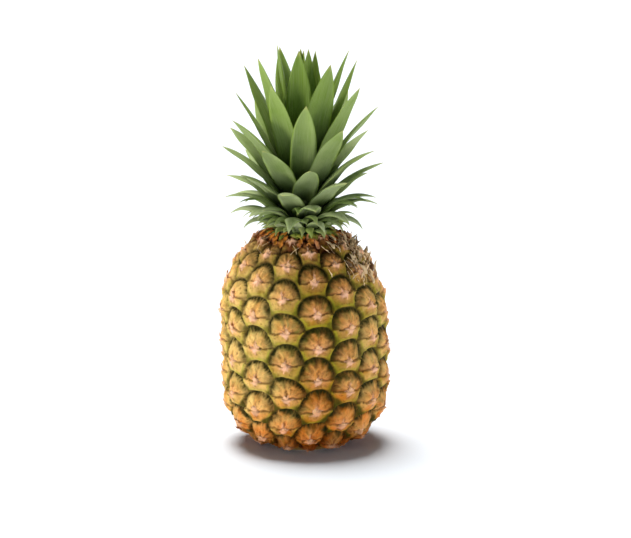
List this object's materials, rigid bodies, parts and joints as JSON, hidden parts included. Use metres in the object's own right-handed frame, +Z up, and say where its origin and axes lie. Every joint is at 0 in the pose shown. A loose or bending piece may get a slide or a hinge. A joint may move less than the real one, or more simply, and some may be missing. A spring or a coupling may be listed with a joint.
{
  "type": "whole pineapple",
  "caption": "Whole ripe pineapple with its leafy crown, standing upright on its flat cut base.",
  "frame": {"origin": "middle of the flat cut base, on the surface that the pineapple stands on", "axes": "+Z up along the fruit's axis to the crown; -Y is the side that the picture shows; +X is to that side's right"},
  "size_m": [0.1227, 0.1216, 0.2881],
  "materials": {
    "rind": "golden and olive rind of raised eyes with dry bracts, satin",
    "leaf": "green channelled leaves with a grey waxy bloom, satin"
  },
  "bodies": {
    "root": {"fruit": "rind", "crown": "leaf"}
  },
  "joints": []
}
